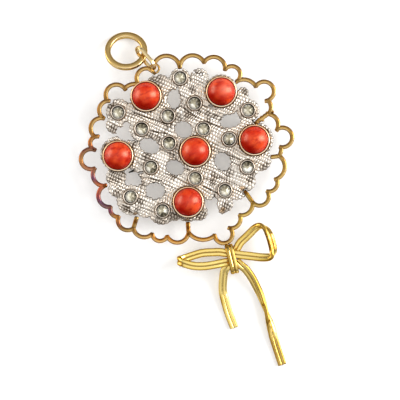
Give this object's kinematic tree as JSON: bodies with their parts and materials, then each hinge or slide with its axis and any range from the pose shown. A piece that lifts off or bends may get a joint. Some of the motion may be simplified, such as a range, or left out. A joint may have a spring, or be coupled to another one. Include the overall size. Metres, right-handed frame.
{
  "type": "pendant brooch",
  "caption": "Round pierced silver plaque with coral cabochons and small cut stones in a scalloped gold wire frame, a ribbon bow below and a suspension ring above.",
  "frame": {"origin": "middle of the jewel's box at the flat surface under its back", "axes": "+Y up the hanging axis, from the bow to the suspension ring; +Z out of the front; +X to the right as seen from the front"},
  "size_m": [0.0524, 0.093, 0.0097],
  "materials": {
    "silver": "cast and chased silver, bright on the raised rows and dark in the grooves",
    "frame_gold": "polished gold wire, heat tarnished orange, red and blue at the lower left",
    "bezel_gold": "polished pinkish gold",
    "bow_gold": "bright polished yellow gold",
    "ring_gold": "polished yellow gold",
    "coral": "glossy polished coral",
    "grey_stone": "polished facets, pale greenish grey",
    "pin_steel": "plain drawn metal"
  },
  "bodies": {
    "root": {"plaque": "silver", "scallop_frame": "frame_gold", "coral_1": "coral", "coral_2": "coral", "coral_3": "coral", "coral_4": "coral", "coral_5": "coral", "coral_6": "coral", "coral_bezel_1": "bezel_gold", "coral_bezel_2": "bezel_gold", "coral_bezel_3": "bezel_gold", "coral_bezel_4": "bezel_gold", "coral_bezel_5": "bezel_gold", "coral_bezel_6": "bezel_gold", "grey_stone_1": "grey_stone", "grey_stone_2": "grey_stone", "grey_stone_3": "grey_stone", "grey_stone_4": "grey_stone", "grey_stone_5": "grey_stone", "grey_stone_6": "grey_stone", "grey_stone_7": "grey_stone", "grey_stone_8": "grey_stone", "grey_stone_9": "grey_stone", "grey_stone_10": "grey_stone", "grey_stone_11": "grey_stone", "grey_stone_12": "grey_stone", "grey_stone_13": "grey_stone", "grey_stone_14": "grey_stone", "grey_stone_15": "grey_stone", "bow_knot": "bow_gold", "bow_left_loop": "bow_gold", "bow_right_loop": "bow_gold", "bow_left_tail": "bow_gold", "bow_right_tail": "bow_gold", "link_ring": "ring_gold", "suspension_ring": "ring_gold", "brooch_pin": "pin_steel"}
  },
  "joints": []
}
